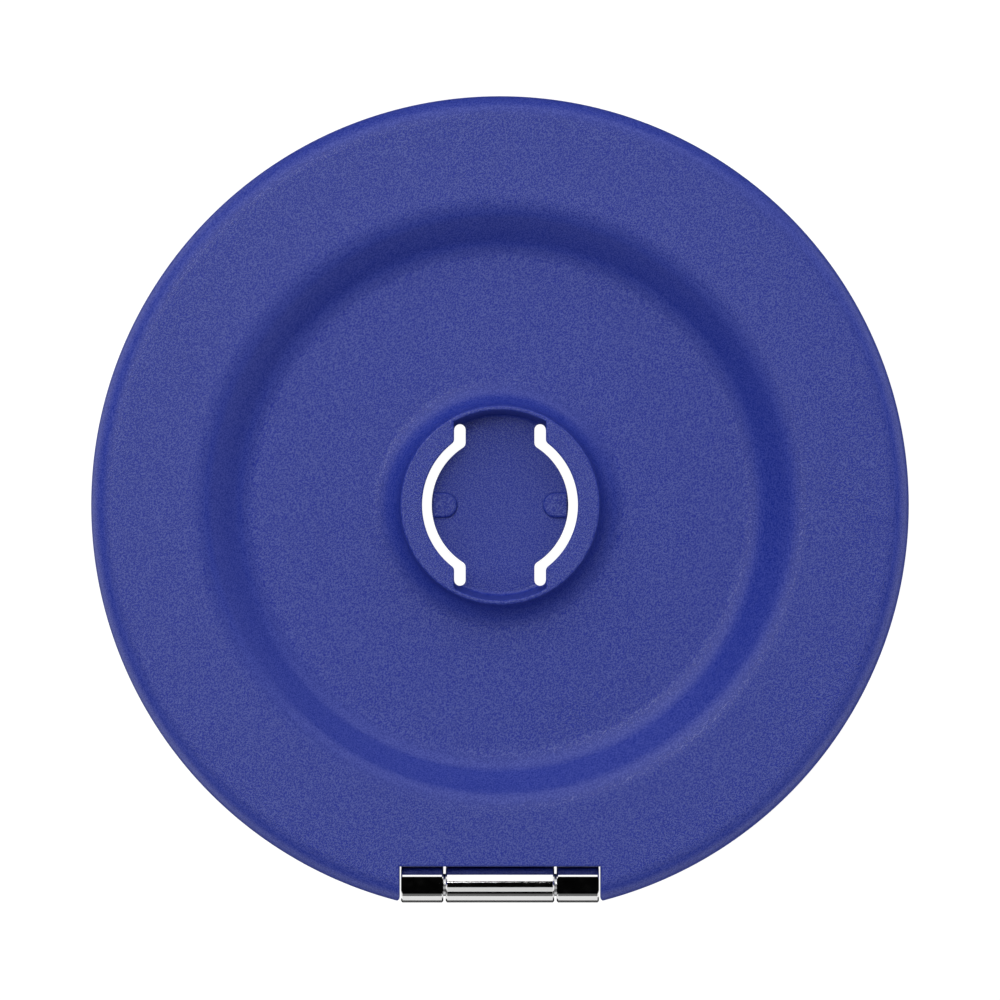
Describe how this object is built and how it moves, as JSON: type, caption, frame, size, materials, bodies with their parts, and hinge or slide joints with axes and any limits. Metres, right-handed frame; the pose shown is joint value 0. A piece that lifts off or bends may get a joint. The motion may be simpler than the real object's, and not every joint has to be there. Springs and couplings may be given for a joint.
{
  "type": "magnetic phone grip stand",
  "caption": "Round magnetic stand for a phone: a dished disc with a twist-lock socket for a grip, on a chrome friction hinge over a magnet ring.",
  "frame": {"origin": "on the disc's axis, on the plane of the pad face that meets the phone", "axes": "+Z out of the phone towards the dished face, -Y towards the hinge, +X along the hinge"},
  "size_m": [0.059, 0.0582, 0.006],
  "materials": {
    "moulded_plastic": "fine leather grain",
    "back_plastic": "fine spark texture",
    "pad_silicone": "smooth matt",
    "hinge_chrome": "polished plate",
    "pin_steel": "ground",
    "keeper_steel": "rolled",
    "magnet_nickel": "nickel plate"
  },
  "bodies": {
    "magnet_ring": {"ring_housing": "back_plastic", "ring_cover": "back_plastic", "phone_pad": "pad_silicone", "ring_hinge_leaf": "hinge_chrome", "ring_hinge_screws": "pin_steel", "magnet_01": "magnet_nickel", "magnet_02": "magnet_nickel", "magnet_03": "magnet_nickel", "magnet_04": "magnet_nickel", "magnet_05": "magnet_nickel", "magnet_06": "magnet_nickel", "magnet_07": "magnet_nickel", "magnet_08": "magnet_nickel", "magnet_09": "magnet_nickel", "magnet_10": "magnet_nickel", "magnet_11": "magnet_nickel", "magnet_12": "magnet_nickel", "magnet_13": "magnet_nickel", "magnet_14": "magnet_nickel", "magnet_15": "magnet_nickel", "magnet_16": "magnet_nickel", "friction_clip_1": "pin_steel", "friction_clip_2": "pin_steel", "friction_clip_3": "pin_steel", "friction_clip_4": "pin_steel"},
    "stand_leaf": {"stand_disc": "moulded_plastic", "keeper_ring": "keeper_steel", "stand_back_cover": "back_plastic", "stand_hinge_leaf": "hinge_chrome", "stand_hinge_screws": "pin_steel", "hinge_pin": "pin_steel"}
  },
  "joints": [
    {"name": "stand_hinge", "type": "hinge", "parent": "magnet_ring", "child": "stand_leaf", "pos_m": [0, -0.0274, 0.00473], "axis": [1, 0, 0], "range_deg": [0, 110]}
  ]
}
